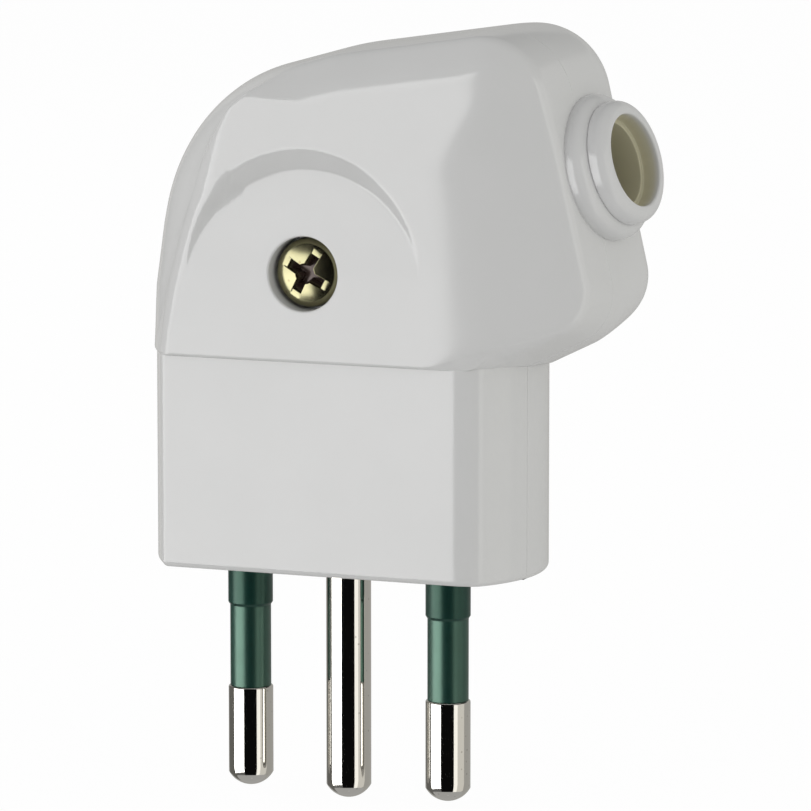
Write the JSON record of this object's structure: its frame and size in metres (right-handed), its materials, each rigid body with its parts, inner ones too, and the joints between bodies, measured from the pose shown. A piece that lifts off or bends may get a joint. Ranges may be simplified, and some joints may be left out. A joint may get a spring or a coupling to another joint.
{
  "type": "angled mains plug",
  "caption": "Angled rewirable mains plug: white moulded housing with in-line round pins, a cover screw and a slanted cord outlet at the side.",
  "frame": {"origin": "centre of the engagement face, on the axis of the earth pin", "axes": "+Z away from the pins, +X towards the cord outlet, -Y towards the side with the cover screw"},
  "size_m": [0.0462, 0.0174, 0.0697],
  "materials": {
    "white_shell": "satin white moulded urea plastic",
    "bush_white": "glossy bluish white soft plastic",
    "green_sleeve": "dark green insulating sleeve",
    "nickel_pin": "nickel plated brass, polished",
    "yellow_zinc": "yellow passivated zinc plated steel",
    "terminal_steel": "zinc plated steel",
    "clamp_grey": "moulded white clamp bar"
  },
  "bodies": {
    "root": {"front_cover": "white_shell", "rear_cover": "white_shell", "cover_screw": "yellow_zinc", "line_pin": "nickel_pin", "neutral_pin": "nickel_pin", "earth_pin": "nickel_pin", "line_pin_sleeve": "green_sleeve", "neutral_pin_sleeve": "green_sleeve", "terminal_screws": "terminal_steel", "cord_clamp": "clamp_grey", "cord_clamp_screws": "terminal_steel", "cord_bush": "bush_white"}
  },
  "joints": []
}
